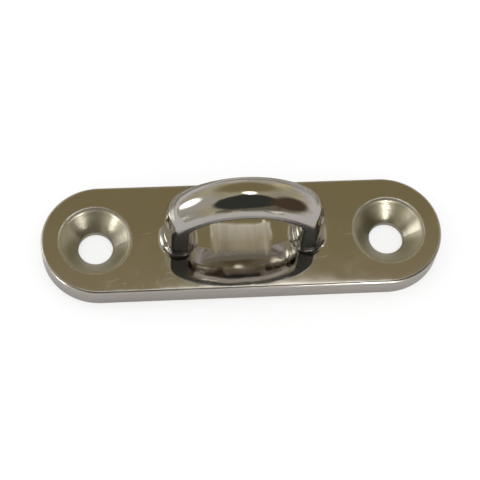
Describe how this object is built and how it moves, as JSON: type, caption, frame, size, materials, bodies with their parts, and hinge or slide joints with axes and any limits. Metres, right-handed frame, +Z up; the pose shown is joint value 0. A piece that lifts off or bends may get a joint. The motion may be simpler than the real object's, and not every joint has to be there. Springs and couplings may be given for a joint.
{
  "type": "eye plate",
  "caption": "Cast stainless eye plate: a flat base with round ends, countersunk screw holes and a standing, flattened arch for a line or shackle.",
  "frame": {"origin": "centre of the plate's flat underside", "axes": "+X along the plate, through both screw holes; +Y across the plate, along the way through the eye; +Z up, out of the surface that the plate is screwed to"},
  "size_m": [0.06, 0.0174, 0.0185],
  "materials": {
    "polished_steel": "polished stainless steel casting"
  },
  "bodies": {
    "root": {"eye_plate": "polished_steel"}
  },
  "joints": []
}
